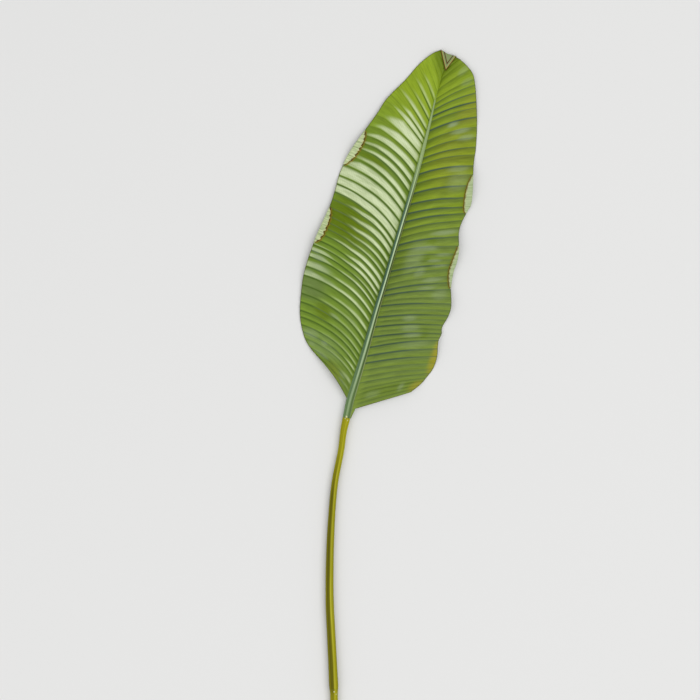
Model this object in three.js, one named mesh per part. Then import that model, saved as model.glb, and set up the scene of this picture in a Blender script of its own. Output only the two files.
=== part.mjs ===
// A banana leaf cut with its stalk, lying face up on a flat surface. The pleated blade hangs from
// both sides of a grooved midrib. The stalk meets the midrib at a collar and has a second joint near
// its foot. Millimetres, +Z up, +Y from the foot to the tip, origin at the bottom centre of the leaf.

import * as THREE from 'three';

// Joints along the length of the leaf, and the hairline left between pieces that meet.
const footY = -490;
const ringY = -405;
const collarY = -25;
const ribTipY = 415.5;
const slotEndY = 419;
const tipY = 483.5;
const seam = 0.3;

// Blade: thickness at the rib and at the edge, and the pleats that run along the side veins.
const ribSideThickness = 0.9;
const edgeThickness = 0.7;
const pleats = 48;
const pleatsBesideRib = 41;
const pleatHeight = { left: 1.5, right: 1.2 };
const bladeBelowRibTop = 1.1;
const lowestSheet = 0.4;

// Mesh fineness: rows per pleat, columns between rib and edge band, columns in the edge band.
const rowsPerPleat = 2;
const openColumns = 8;
const edgeColumns = 2;
const creaseWidth = 4;
const edgeBand = 5;

// Folds: the sheet turns up and over on this radius, rises by foldLift on its way back, and ends in
// a slightly scalloped edge. At its torn ends a fold has only its end width.
const foldRadius = 1.4;
const foldLift = 0.6;
const foldEndWidth = 2.8;
const scallop = 0.45;

// Midrib and the centre line beyond it: y, x, width, depth, height of the underside.
const ribLine = [
  [-26, -58.9, 10.6, 9.5, 0],
  [0, -53.2, 11.2, 9.4, 0],
  [21, -47, 11.2, 9.2, 0],
  [73, -31.4, 10, 8.2, 0],
  [126, -16.6, 8.4, 7, 0],
  [168, -4, 7.3, 6.2, 0],
  [238, 16.6, 6.8, 5, 1.5],
  [294, 33.2, 6.3, 4.2, 4],
  [339, 45.8, 5.2, 3.4, 6],
  [392, 59, 3.2, 2.4, 6.2],
  [418, 65, 2, 1.8, 5],
  [450, 74, 1.6, 1.6, 2.5],
  [484, 82.8, 1.5, 1.5, 1.3],
];

// Stalk: y, x, width, depth. It lies on the surface all along.
const stalkLine = [
  [-490, -74, 11, 9],
  [-420, -76, 10.6, 9],
  [-406, -76.3, 10.8, 9.2],
  [-404, -76.4, 12.2, 9.8],
  [-367, -78.1, 12, 9.8],
  [-325, -80.2, 11.7, 9.7],
  [-281, -82.2, 11.2, 9.6],
  [-224, -82, 10.6, 9.4],
  [-165, -79.5, 9.6, 9.2],
  [-116, -75, 9, 9],
  [-69, -66, 8.6, 9],
  [-45, -63, 9.2, 9.2],
  [-25, -58.7, 10.4, 9.5],
];

// Each side vein by where it leaves the rib and where it reaches the edge:
// rib y, edge x, edge y, edge height, bow of the vein, arch of the half above a straight line.
const leftVeins = [
  [1.4, -98, 59.5, 7, 0.08, 3],
  [14, -110, 74, 4, 0.15, 6],
  [27, -117.8, 88.5, 1.5, 0.19, 9],
  [48, -123.6, 116, 0.3, 0.21, 11],
  [74, -122.6, 147, 3, 0.21, 13],
  [106, -117.5, 180.6, 7, 0.21, 15],
  [142, -103, 224, 9, 0.2, 16],
  [192, -81.8, 272.3, 6, 0.21, 17],
  [212, -75.3, 292.2, 4, 0.2, 17],
  [248, -68.2, 317.8, 3, 0.16, 16],
  [277, -56.6, 343, 5, 0.14, 15],
  [329, -35.6, 373.8, 8, 0.12, 12],
  [356, -14.6, 403.2, 5, 0.08, 10],
  [368, -3.4, 420.7, 3.5, 0.07, 9],
  [397, 23.2, 448, 2, 0.04, 6],
  [424, 42.8, 470.4, 3, 0.04, 3.5],
  [450, 60.3, 484.4, 3.5, 0.02, 1.5],
  [484, 72.2, 490, 2.5, 0, 0],
];
const rightVeins = [
  [-12, 31.6, 11.2, 7, 0, 1],
  [3, 45.6, 22.4, 4, 0.03, 4],
  [18, 54, 32.2, 1.5, 0.04, 6],
  [34, 62.4, 43.4, 0.3, 0.05, 7],
  [52, 68, 59.5, 3, 0.05, 8],
  [74, 69.9, 81.9, 7, 0.05, 9],
  [90, 74.3, 92.4, 5, 0.05, 10],
  [101, 75.5, 102.2, 3, 0.05, 11],
  [116, 84, 117.6, 5, 0.05, 12],
  [129, 87.8, 131.6, 8, 0.05, 12.5],
  [147, 87.6, 158.2, 4, 0.05, 13],
  [164, 91, 179, 5, 0.06, 13],
  [181, 95.5, 192.5, 8, 0.06, 13],
  [200, 98.4, 210, 9, 0.06, 13],
  [220, 99.1, 238, 6, 0.06, 13],
  [249, 110.7, 264.6, 3, 0.06, 13],
  [258, 114.9, 271.6, 4, 0.06, 13],
  [272, 117.2, 285.6, 7, 0.06, 12.5],
  [297, 118.4, 312.2, 6, 0.07, 12],
  [319, 119.8, 333.2, 3, 0.07, 11],
  [336, 122.9, 354.2, 1, 0.07, 10],
  [361, 124.2, 382.2, 0.3, 0.07, 8],
  [393, 123.5, 413, 3, 0.06, 6],
  [413, 121.7, 439.6, 6, 0.06, 4.5],
  [427, 118.4, 456.4, 5, 0.05, 3.5],
  [442, 109.3, 469, 3, 0.04, 2.5],
  [454, 101.6, 476, 3, 0.02, 1.5],
  [484, 96, 479.8, 2.5, 0, 0],
];

// Turned-over margins, torn free at both ends: the pleats whose veins end in the fold, the width
// folded over and where along the stretch it is widest.
const folds = {
  left: [
    { from: 25.5, to: 32.5, width: 11, widest: 0.5 },
    { from: 13.5, to: 18.5, width: 10.5, widest: 0.45 },
  ],
  right: [
    { from: 24.5, to: 29.5, width: 11, widest: 0.35 },
    { from: 15, to: 20.5, width: 7.7, widest: 0.5 },
  ],
};

// The tip is turned over too, as a small triangle whose point lies on the centre line.
const tipFlapPoint = [79.9, 460.6];
const tipSheetHeight = 2.4;
const tipFlapRows = [
  // share of the way from fold to point, height above the sheet, points across
  [-0.05, foldRadius, 5],
  [0.07, 2 * foldRadius, 7],
  [0.35, 2 * foldRadius + 0.2, 5],
  [0.65, 2 * foldRadius + 0.4, 4],
  [0.9, 2 * foldRadius + 0.6, 3],
];

// The right half runs on below its base as a narrow strip along the rib: y and width.
const sheathStrip = [
  [-24, 0.9],
  [-18, 2.6],
];

// Section of midrib and stalk, anticlockwise from the floor: share of half width, share of depth,
// and how far the groove takes that point down.
const ribSection = [
  [0.44, 0, 0],
  [0.8, 0.14, 0],
  [1, 0.42, 0],
  [1, 0.86, 0],
  [0.8, 1, 0],
  [0.4, 1, 0.8],
  [0, 1, 1],
  [-0.4, 1, 0.8],
  [-0.8, 1, 0],
  [-1, 0.86, 0],
  [-1, 0.42, 0],
  [-0.8, 0.14, 0],
  [-0.44, 0, 0],
];
const grooveDepth = 0.22;
const ribStep = 10;
const stalkStep = 18;

const green = 0x7b9637;
const paleGreen = 0x8fa878;
const olive = 0x8a8a2c;

// Smooth values from a table whose rows are a station and the values there.
function along(table, station) {
  const last = table.length - 1;
  let i = 0;
  while (i < last - 1 && station > table[i + 1][0]) i += 1;
  const span = table[i + 1][0] - table[i][0];
  const t = THREE.MathUtils.clamp((station - table[i][0]) / span, 0, 1);
  const slope = (j, column) => {
    const before = table[Math.max(j - 1, 0)];
    const after = table[Math.min(j + 1, last)];
    return (after[column] - before[column]) / (after[0] - before[0]);
  };
  return table[i].slice(1).map((value, k) => {
    const column = k + 1;
    const start = (1 + 2 * t) * (1 - t) ** 2 * value;
    const leaving = t * (1 - t) ** 2 * span * slope(i, column);
    const end = t * t * (3 - 2 * t) * table[i + 1][column];
    const arriving = t * t * (t - 1) * span * slope(i + 1, column);
    return start + leaving + end + arriving;
  });
}

// Direction across a line given by a table, pointing to its right-hand side (+X).
function across(table, y) {
  const from = Math.max(y - 1, table[0][0]);
  const to = Math.min(y + 1, table[table.length - 1][0]);
  const [before] = along(table, from);
  const [after] = along(table, to);
  return new THREE.Vector2(to - from, before - after).normalize();
}

// Where on the rib the vein of a given pleat number starts.
function stationOf(side, pleat) {
  const first = side === 'left' ? leftVeins[0][0] : rightVeins[0][0];
  if (pleat <= pleatsBesideRib) {
    return THREE.MathUtils.lerp(first, slotEndY, pleat / pleatsBesideRib);
  }
  return THREE.MathUtils.lerp(slotEndY, tipY, (pleat - pleatsBesideRib) / (pleats - pleatsBesideRib));
}

// One vein of a half blade, seen from above, with what its points need.
function veinOf(side, pleat) {
  const sign = side === 'left' ? -1 : 1;
  const station = stationOf(side, pleat);
  const [x, width, depth, rise] = along(ribLine, station);
  const table = side === 'left' ? leftVeins : rightVeins;
  const [edgeX, edgeY, edgeZ, bow, arch] = along(table, station);
  const besideRib = pleat < pleatsBesideRib;
  const offset = besideRib ? width / 2 + seam : 0;
  const root = new THREE.Vector2(x, station).addScaledVector(across(ribLine, station), sign * offset);
  const edge = new THREE.Vector2(edgeX, edgeY);
  const chord = edge.clone().sub(root);
  const middle = root.clone().addScaledVector(chord, 0.5);
  middle.x += -sign * chord.y * bow;
  middle.y += sign * chord.x * bow;
  return {
    side,
    pleat,
    station,
    curve: new THREE.QuadraticBezierCurve(root, middle, edge),
    length: chord.length(),
    rootZ: rise + depth - bladeBelowRibTop,
    edgeZ,
    arch,
  };
}

// A point of the sheet's middle surface, u from the rib (0) to the edge (1).
function sheetPoint(vein, u) {
  const flat = vein.curve.getPoint(u);
  const straight = THREE.MathUtils.lerp(vein.rootZ, vein.edgeZ, u);
  const arched = vein.arch * Math.sin(Math.PI * u ** 0.8);
  const fade = THREE.MathUtils.smoothstep(u, -0.04, 0.1) * (1 - 0.5 * THREE.MathUtils.smoothstep(u, 0.7, 1));
  const crest = Math.abs(Math.sin(Math.PI * vein.pleat)) - 0.5;
  const shortVein = Math.min(1, vein.length / 40);
  const pleat = pleatHeight[vein.side] * crest * fade * shortVein;
  const sway = 1.2 * u * Math.sin(vein.station / 13 + 4 * u);
  return new THREE.Vector3(flat.x, flat.y, Math.max(lowestSheet, straight + arched + pleat + sway * shortVein));
}

// The fold that this vein ends in, if any.
function foldAt(vein) {
  return folds[vein.side].find((fold) => vein.pleat >= fold.from && vein.pleat <= fold.to);
}

// The points of one vein's row from rib to edge. Where the margin is turned over, the flat part
// stops short by the fold's radius.
function rowPoints(vein) {
  const crease = Math.min(creaseWidth, 0.2 * vein.length) / vein.length;
  const band = Math.min(edgeBand, 0.3 * vein.length) / vein.length;
  const end = foldAt(vein) ? foldRadius / vein.length : 0;
  const points = [sheetPoint(vein, 0)];
  for (let i = 0; i < openColumns; i += 1) {
    points.push(sheetPoint(vein, THREE.MathUtils.lerp(crease, 1 - band, i / (openColumns - 1))));
  }
  for (let i = 1; i <= edgeColumns; i += 1) {
    points.push(sheetPoint(vein, THREE.MathUtils.lerp(1 - band, 1 - end, i / edgeColumns)));
  }
  return points;
}

// The points of the turned-over margin past the end of the row: up round the fold's outermost
// line, then back over the blade to the free edge.
function foldPoints(vein) {
  const fold = foldAt(vein);
  const t = (vein.pleat - fold.from) / (fold.to - fold.from);
  const reach = t < fold.widest ? fold.widest : 1 - fold.widest;
  const crescent = 1 - Math.abs((t - fold.widest) / reach) ** 4;
  const wavy = scallop * Math.cos(2 * Math.PI * vein.pleat);
  const width = THREE.MathUtils.lerp(foldEndWidth, fold.width + wavy, crescent);
  const offsets = [
    [0, foldRadius],
    [foldRadius, 2 * foldRadius],
    [(foldRadius + width) / 2, 2 * foldRadius + foldLift / 2],
    [width, 2 * foldRadius + foldLift],
  ];
  return offsets.map(([inward, up]) => {
    const point = sheetPoint(vein, 1 - inward / vein.length);
    point.z += up;
    return point;
  });
}

// A sheet is a list of points and of triangles on its middle surface.
class Sheet {
  constructor() {
    this.points = [];
    this.thickness = [];
    this.triangles = [];
    this.upright = new Set();
  }

  // Adds points and returns their numbers.
  addRow(points, thicknessAt) {
    return points.map((point, i) => {
      this.points.push(point);
      this.thickness.push(thicknessAt(i / (points.length - 1)));
      return this.points.length - 1;
    });
  }

  // Fills the strip between two rows, both given from left to right, the second nearer the tip.
  stitch(near, far) {
    let i = 0;
    let j = 0;
    while (i < near.length - 1 || j < far.length - 1) {
      const nearNext = (i + 1) / Math.max(1, near.length - 1);
      const farNext = (j + 1) / Math.max(1, far.length - 1);
      if (j === far.length - 1 || (i < near.length - 1 && nearNext <= farNext)) {
        this.triangles.push([near[i], near[i + 1], far[j]]);
        i += 1;
      } else {
        this.triangles.push([near[i], far[j + 1], far[j]]);
        j += 1;
      }
    }
  }

  // The closed solid: both faces split alike, joined by a wall along every open edge. The wall
  // stands upright at the points named in upright, so that it faces the midrib squarely.
  solid() {
    const middle = new THREE.BufferGeometry().setFromPoints(this.points);
    middle.setIndex(this.triangles.flat());
    middle.computeVertexNormals();
    const normals = middle.getAttribute('normal');
    const top = [];
    const under = [];
    this.points.forEach((point, i) => {
      const half = new THREE.Vector3().fromBufferAttribute(normals, i);
      if (this.upright.has(i)) half.set(0, 0, 1);
      half.multiplyScalar(this.thickness[i] / 2);
      top.push(point.clone().add(half));
      under.push(point.clone().sub(half));
    });
    const count = this.points.length;
    const index = [];
    const open = new Map();
    for (const [a, b, c] of this.triangles) {
      index.push(a, b, c, count + a, count + c, count + b);
      for (const [from, to] of [[a, b], [b, c], [c, a]]) {
        if (!open.delete(`${to},${from}`)) open.set(`${from},${to}`, [from, to]);
      }
    }
    for (const [from, to] of open.values()) {
      index.push(from, count + from, count + to, from, count + to, to);
    }
    const geometry = new THREE.BufferGeometry().setFromPoints([...top, ...under]);
    geometry.setIndex(index);
    return geometry;
  }
}

// Row of the tip flap, across from the left corner of the fold to the right one.
function tipFlapRow(leftCorner, centre, rightCorner, share, height, count) {
  const point = new THREE.Vector3(tipFlapPoint[0], tipFlapPoint[1], 0);
  const row = [];
  for (let i = 0; i < count; i += 1) {
    const t = (2 * i) / (count - 1);
    const onFold = t < 1 ? leftCorner.clone().lerp(centre, t) : centre.clone().lerp(rightCorner, t - 1);
    const at = onFold.lerp(point, share);
    at.z = tipSheetHeight + height;
    row.push(at);
  }
  return row;
}

function makeBlade() {
  const sheet = new Sheet();
  const taper = (u) => THREE.MathUtils.lerp(ribSideThickness, edgeThickness, u);
  const rowCount = pleats * rowsPerPleat;
  const slotRows = pleatsBesideRib * rowsPerPleat;
  const rows = [];
  for (let row = 0; row <= rowCount; row += 1) {
    const pleat = row / rowsPerPleat;
    const leftPoints = rowPoints(veinOf('left', pleat)).reverse();
    const rightPoints = rowPoints(veinOf('right', pleat));
    const left = sheet.addRow(leftPoints, (t) => taper(1 - t));
    if (row < slotRows) {
      const right = sheet.addRow(rightPoints, taper);
      sheet.upright.add(left[left.length - 1]).add(right[0]);
      rows.push({ left, right });
    } else {
      const beyondCentre = sheet.addRow(rightPoints.slice(1), taper);
      rows.push({ left, right: [left[left.length - 1], ...beyondCentre] });
    }
  }
  for (let row = 0; row < rowCount; row += 1) {
    sheet.stitch(rows[row].left, rows[row + 1].left);
    sheet.stitch(rows[row].right, rows[row + 1].right);
  }

  // The turned-over margins, on from the ends of their rows.
  for (const side of ['left', 'right']) {
    for (const fold of folds[side]) {
      let last = null;
      for (let row = fold.from * rowsPerPleat; row <= fold.to * rowsPerPleat; row += 1) {
        const turned = sheet.addRow(foldPoints(veinOf(side, row / rowsPerPleat)), () => edgeThickness);
        const edge = side === 'left' ? rows[row].left[0] : rows[row].right.at(-1);
        const next = side === 'left' ? [...turned.reverse(), edge] : [edge, ...turned];
        if (last) sheet.stitch(last, next);
        last = next;
      }
    }
  }

  // The strip along the rib below the right half.
  const base = rows[0].right.slice(0, 2);
  const strip = sheathStrip.map(([y, width]) => {
    const [x, ribWidth, depth, rise] = along(ribLine, y);
    const out = across(ribLine, y);
    const inner = new THREE.Vector2(x, y).addScaledVector(out, ribWidth / 2 + seam);
    const outer = inner.clone().addScaledVector(out, width);
    const z = rise + depth - bladeBelowRibTop;
    const ends = [inner, outer].map((p) => new THREE.Vector3(p.x, p.y, z));
    const row = sheet.addRow(ends, () => ribSideThickness);
    sheet.upright.add(row[0]);
    return row;
  });
  sheet.stitch(strip[0], strip[1]);
  sheet.stitch(strip[1], base);

  // The turned-over tip, torn free at both corners of the fold.
  const topRow = [...rows[rowCount].left, ...rows[rowCount].right.slice(1)].slice(1, -1);
  const leftCorner = sheet.points[topRow[0]];
  const rightCorner = sheet.points[topRow[topRow.length - 1]];
  const centre = sheet.points[rows[rowCount].right[0]];
  let last = topRow;
  for (const [share, height, count] of tipFlapRows) {
    const points = tipFlapRow(leftCorner, centre, rightCorner, share, height, count);
    const next = sheet.addRow(points, () => edgeThickness);
    sheet.stitch(last, next);
    last = next;
  }
  return sheet.solid();
}

// A bar with the grooved section, from rings of points that share one order.
function loft(rings) {
  const size = rings[0].length;
  const points = rings.flat();
  const index = [];
  for (let ring = 0; ring < rings.length - 1; ring += 1) {
    for (let i = 0; i < size; i += 1) {
      const a = ring * size + i;
      const b = ring * size + ((i + 1) % size);
      index.push(a, a + size, b + size, a, b + size, b);
    }
  }
  const contour = rings[0].map((p, i) => new THREE.Vector2(ribSection[i][0], p.z));
  const cap = THREE.ShapeUtils.triangulateShape(contour, []);
  const lastRing = (rings.length - 1) * size;
  for (const [a, b, c] of cap) {
    index.push(a, b, c, lastRing + a, lastRing + c, lastRing + b);
  }
  const geometry = new THREE.BufferGeometry().setFromPoints(points);
  geometry.setIndex(index);
  return geometry;
}

// One ring of the section. The groove fades where the bar gets slender.
function sectionRing(table, y, width, depth, rise) {
  const [x] = along(table, y);
  const out = across(table, y);
  const groove = grooveDepth * Math.min(1, depth / 6);
  return ribSection.map(([share, height, sunk]) => {
    const offset = (share * width) / 2;
    const z = Math.max(0, rise) + depth * (height - groove * sunk);
    return new THREE.Vector3(x + out.x * offset, y + out.y * offset, z);
  });
}

// Stations from one end to the other, about a step apart.
function stations(from, to, step) {
  const count = Math.ceil((to - from) / step);
  return Array.from({ length: count + 1 }, (_, i) => THREE.MathUtils.lerp(from, to, i / count));
}

function makeMidrib() {
  const bodyEnd = stationOf('right', pleatsBesideRib - 1 / rowsPerPleat) - seam;
  const rings = stations(collarY + seam, bodyEnd, ribStep).map((y) => {
    const [, width, depth, rise] = along(ribLine, y);
    return sectionRing(ribLine, y, width, depth, rise);
  });
  const [, , depth, rise] = along(ribLine, ribTipY);
  rings.push(sectionRing(ribLine, ribTipY, 0.3, depth, rise));
  return loft(rings);
}

function makeStalk(from, to) {
  const rings = stations(from, to, stalkStep).map((y) => {
    const [, width, depth] = along(stalkLine, y);
    return sectionRing(stalkLine, y, width, depth, 0);
  });
  return loft(rings);
}

function piece(name, geometry, color, roughness) {
  const material = new THREE.MeshStandardMaterial({ color, roughness, metalness: 0 });
  const mesh = new THREE.Mesh(geometry, material);
  mesh.name = name;
  return mesh;
}

const leaf = new THREE.Group();
leaf.add(piece('blade', makeBlade(), green, 0.45));
leaf.add(piece('midrib', makeMidrib(), paleGreen, 0.5));
leaf.add(piece('petiole', makeStalk(ringY + seam / 2, collarY), olive, 0.5));
leaf.add(piece('petiole_foot', makeStalk(footY, ringY - seam / 2), olive, 0.5));

// Set the origin under the middle of the leaf, on the surface that it lies on.
const box = new THREE.Box3().setFromObject(leaf);
const centre = box.getCenter(new THREE.Vector3());
leaf.position.set(-centre.x, -centre.y, -box.min.z);

export default leaf;
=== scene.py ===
# %% [markdown]
# # A banana leaf, cut with its long stalk
# The leaf lies face up on a pale floor. Four grown parts make it: a thin pleated blade, the
# grooved midrib that carries it, the stalk, and the short foot below a joint in the stalk. The
# frame gives their measured solids. This lesson dresses each one with a finer shape and a living
# surface.

# %% Load the frame
import math

import bpy
import numpy as np
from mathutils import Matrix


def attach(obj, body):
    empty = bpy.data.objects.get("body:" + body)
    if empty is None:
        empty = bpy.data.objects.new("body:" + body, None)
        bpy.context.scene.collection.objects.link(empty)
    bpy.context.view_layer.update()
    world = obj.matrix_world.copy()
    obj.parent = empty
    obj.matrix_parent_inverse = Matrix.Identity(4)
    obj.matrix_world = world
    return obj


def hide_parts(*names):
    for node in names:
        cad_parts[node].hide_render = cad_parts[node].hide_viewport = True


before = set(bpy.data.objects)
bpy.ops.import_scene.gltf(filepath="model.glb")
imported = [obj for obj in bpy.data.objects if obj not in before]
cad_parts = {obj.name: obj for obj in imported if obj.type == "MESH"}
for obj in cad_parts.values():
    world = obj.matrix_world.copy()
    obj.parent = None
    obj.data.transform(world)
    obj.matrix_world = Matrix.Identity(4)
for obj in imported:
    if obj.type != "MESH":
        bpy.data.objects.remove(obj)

scene = bpy.context.scene
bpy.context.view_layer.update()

# %% [markdown]
# ## Measures
# The leaf was measured in millimetres from a point beside its midrib, so every table below is in
# those numbers. One function moves them to the frame, whose origin lies under the middle of the
# leaf.

# %% From millimetres to the frame
MM = 0.001
SHIFT = (-0.1475, -0.2479)


def to_frame(x, y, z):
    return ((x + SHIFT[0]) * MM, (y + SHIFT[1]) * MM, z * MM)


print("frame origin in leaf measures:", [-shift for shift in SHIFT])

# %% [markdown]
# ## Camera, light and floor
# The leaf lies down, so the camera looks straight down on it. A large soft lamp stands far off
# to the right, where it skims the pleats and still lights the floor evenly. A weaker one at the
# lower left and a pale sky fill the shadows. The floor is a wide plain sheet that reaches past
# every view.

# %% Camera
VIEW_WIDTH, VIEW_CENTRE, LEAF_HEIGHT = 0.98, (-0.0539, 0.0698), 0.005
camera_data = bpy.data.cameras.new("camera")
camera_data.lens, camera_data.sensor_width = 100, 36
camera = bpy.data.objects.new("camera", camera_data)
camera_height = VIEW_WIDTH * camera_data.lens / camera_data.sensor_width + LEAF_HEIGHT
camera.location = (*VIEW_CENTRE, camera_height)
scene.collection.objects.link(camera)
scene.camera = camera
scene.view_settings.view_transform = "Standard"
print("camera height in m:", round(camera_height, 3))


# %% One way to write a colour
def colour(code):
    """The linear colour, with alpha, of an sRGB hex code such as 7B9637."""
    parts = [int(code[i:i + 2], 16) / 255 for i in (0, 2, 4)]
    return (*(c / 12.92 if c < 0.04045 else ((c + 0.055) / 1.055) ** 2.4 for c in parts), 1)


print("middle grey in linear light:", round(colour("808080")[0], 3))

# %% Lamps and sky
def soft_lamp(name, place, size, watts):
    lamp = bpy.data.lights.new(name, "AREA")
    lamp.size, lamp.energy = size, watts
    holder = bpy.data.objects.new(name, lamp)
    holder.location = place
    holder.rotation_euler = (-holder.location).to_track_quat("-Z", "Y").to_euler()
    scene.collection.objects.link(holder)


soft_lamp("key_lamp", (2.4, 0.1, 5.2), 5.0, 165)
soft_lamp("fill_lamp", (-2.8, -2.0, 4.6), 5.0, 95)

sky = bpy.data.worlds.new("sky")
sky.use_nodes = True
sky.node_tree.nodes["Background"].inputs["Color"].default_value = colour("FAFAF8")
sky.node_tree.nodes["Background"].inputs["Strength"].default_value = 0.55
scene.world = sky


# %% [markdown]
# ## Helpers for every material, node tree and mesh
# A node is added with its settings, and each input is either set to a value or linked to a socket.
# Geometry Nodes trees all begin, end and are used in the same way. A mesh is made from points in
# millimetres and can carry named numbers for its points.

# %% Add a node
# the kinds used most, and settings for a Mix of colours and a Map Range that eases in and out
MATH, MIX, RANGE = "ShaderNodeMath", "ShaderNodeMix", "ShaderNodeMapRange"
RGBA, SOFT = {"data_type": "RGBA"}, {"interpolation_type": "SMOOTHSTEP"}


def add(tree, kind, *values, out=None, stops=(), **settings):
    """Adds a node and returns its output socket, the first one in use unless out names another.

    Each value goes to the next input in use, or one dictionary names them. A socket is linked, a
    hex code becomes a colour, and anything else is set. stops are the positions and hex codes of
    a colour ramp, in rising order."""
    node = tree.nodes.new(kind)
    for name, value in settings.items():
        setattr(node, name, value)
    used = [socket for socket in node.inputs if socket.enabled]
    if values and isinstance(values[0], dict):
        pairs = [(next(s for s in used if s.name == name), v) for name, v in values[0].items()]
    else:
        pairs = zip(used, values)
    for socket, value in pairs:
        if isinstance(value, bpy.types.NodeSocket):
            tree.links.new(value, socket)
        else:
            socket.default_value = colour(value) if socket.type == "RGBA" else value
    for i, (position, code) in enumerate(stops):
        elements = node.color_ramp.elements
        stop = elements[i] if i < len(elements) else elements.new(position)
        stop.position, stop.color = position, colour(code)
    if out is not None:
        return node.outputs[out]
    return next((s for s in node.outputs if s.enabled), None)


print("kinds with a short name:", MATH, MIX, RANGE)

# %% Start a material
def material(name, roughness, **settings):
    """A new material and its shader node, with constant values set on the shader itself."""
    made = bpy.data.materials.new(name)
    made.use_nodes = True
    shader = made.node_tree.nodes["Principled BSDF"]
    shader.inputs["Roughness"].default_value = roughness
    for key, value in settings.items():
        shader.inputs[key.replace("_", " ")].default_value = value
    return made, made.node_tree, shader


def coat(shader, paint, bump=None):
    """Links a shader's colour, and its bump where it has one."""
    tree = shader.id_data
    tree.links.new(paint, shader.inputs["Base Color"])
    if bump is not None:
        tree.links.new(bump, shader.inputs["Normal"])
    print("shader linked, nodes:", len(tree.nodes))


# %% Begin, end and use a Geometry Nodes tree
def node_group(name, **kinds):
    """A tree with a geometry, the inputs in kinds and a material coming in, and geometry out."""
    group = bpy.data.node_groups.new(name, "GeometryNodeTree")
    for key, kind in {"Geometry": "Geometry", **kinds, "Material": "Material"}.items():
        group.interface.new_socket(name=key.replace("_", " "), in_out="INPUT",
                                   socket_type="NodeSocket" + kind)
    group.interface.new_socket(name="Geometry", in_out="OUTPUT",
                               socket_type="NodeSocketGeometry")
    return group, group.nodes.new("NodeGroupInput").outputs


def end_group(group, shape, given):
    """Makes the shape real, with the given material, and hands it out."""
    shape = add(group, "GeometryNodeRealizeInstances", shape)
    shape = add(group, "GeometryNodeSetMaterial",
                {"Geometry": shape, "Material": given["Material"]})
    group.links.new(shape, group.nodes.new("NodeGroupOutput").inputs["Geometry"])
    print(group.name, "nodes:", len(group.nodes))


def use_group(item, group, **values):
    """Puts the tree on an object and sets its inputs, which a modifier knows by identifier."""
    modifier = item.modifiers.new(group.name, "NODES")
    modifier.node_group = group
    for socket in group.interface.items_tree:
        key = socket.name.replace(" ", "_")
        if key in values:
            modifier[socket.identifier] = values[key]


# %% Make a mesh
def mesh_object(name, points, faces=(), edges=(), materials=(), values=None):
    mesh = bpy.data.meshes.new(name)
    mesh.from_pydata([to_frame(*p) for p in points], edges, faces)
    for field, numbers in (values or {}).items():
        mesh.attributes.new(field, "FLOAT", "POINT").data.foreach_set("value", numbers)
    for item in materials:
        mesh.materials.append(item)
    made = bpy.data.objects.new(name, mesh)
    scene.collection.objects.link(made)
    return made


def settle(obj, sharp_angle):
    """Turns what the modifiers make into a plain mesh, takes them off and smooths the faces."""
    graph = bpy.context.evaluated_depsgraph_get()
    evaluated = obj.evaluated_get(graph)
    mesh = bpy.data.meshes.new_from_object(evaluated, preserve_all_data_layers=True,
                                           depsgraph=graph)
    obj.modifiers.clear()
    obj.data = mesh
    mesh.shade_smooth()
    mesh.set_sharp_from_angle(angle=math.radians(sharp_angle))
    print(obj.name, "triangles:", sum(len(p.vertices) - 2 for p in mesh.polygons))


# %% Floor
FLOOR_REACH, FLOOR_Z = 6000, -0.3
floor_paint, _, floor_shader = material("matt_floor_paint", 0.9)
floor_shader.inputs["Base Color"].default_value = colour("DEDEDE")
floor_corners = [(x * FLOOR_REACH, y * FLOOR_REACH, FLOOR_Z)
                 for x, y in ((-1, -1), (1, -1), (1, 1), (-1, 1))]
floor = mesh_object("floor", floor_corners, faces=[(0, 1, 2, 3)], materials=[floor_paint])
print("floor reaches in m:", FLOOR_REACH * MM)

# %% [markdown]
# ## The lines that the leaf grows along
# The midrib is one gentle curve. Each half of the blade is a fan of lines that leave the midrib at
# even steps and end on the margin. So the outline is not drawn at all: it is where the lines end.
# Left lines bulge towards the tip, right lines are almost straight.

# %% Tables of the midrib, the stalk and the fan
COLLAR_Y, RING_Y, FOOT_Y = -25, -405, -490
SLOT_END_Y, TIP_Y = 419, 483.5
STEPS, STEPS_BESIDE_RIB = 48, 41
SEAM_MM = 0.3

# y, x, width, depth, height of the underside
RIB_LINE = [
    (-26, -58.9, 10.6, 9.5, 0), (0, -53.2, 11.2, 9.4, 0), (21, -47, 11.2, 9.2, 0),
    (73, -31.4, 10, 8.2, 0), (126, -16.6, 8.4, 7, 0), (168, -4, 7.3, 6.2, 0),
    (238, 16.6, 6.8, 5, 1.5), (294, 33.2, 6.3, 4.2, 4), (339, 45.8, 5.2, 3.4, 6),
    (392, 59, 3.2, 2.4, 6.2), (418, 65, 2, 1.8, 5), (450, 74, 1.6, 1.6, 2.5),
    (484, 82.8, 1.5, 1.5, 1.3),
]

# y, x, width, depth
STALK_LINE = [
    (-490, -74, 11, 9), (-420, -76, 10.6, 9), (-406, -76.3, 10.8, 9.2), (-404, -76.4, 12.2, 9.8),
    (-367, -78.1, 12, 9.8), (-325, -80.2, 11.7, 9.7), (-281, -82.2, 11.2, 9.6),
    (-224, -82, 10.6, 9.4), (-165, -79.5, 9.6, 9.2), (-116, -75, 9, 9), (-69, -66, 8.6, 9),
    (-45, -63, 9.2, 9.2), (-25, -58.7, 10.4, 9.5),
]

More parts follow.
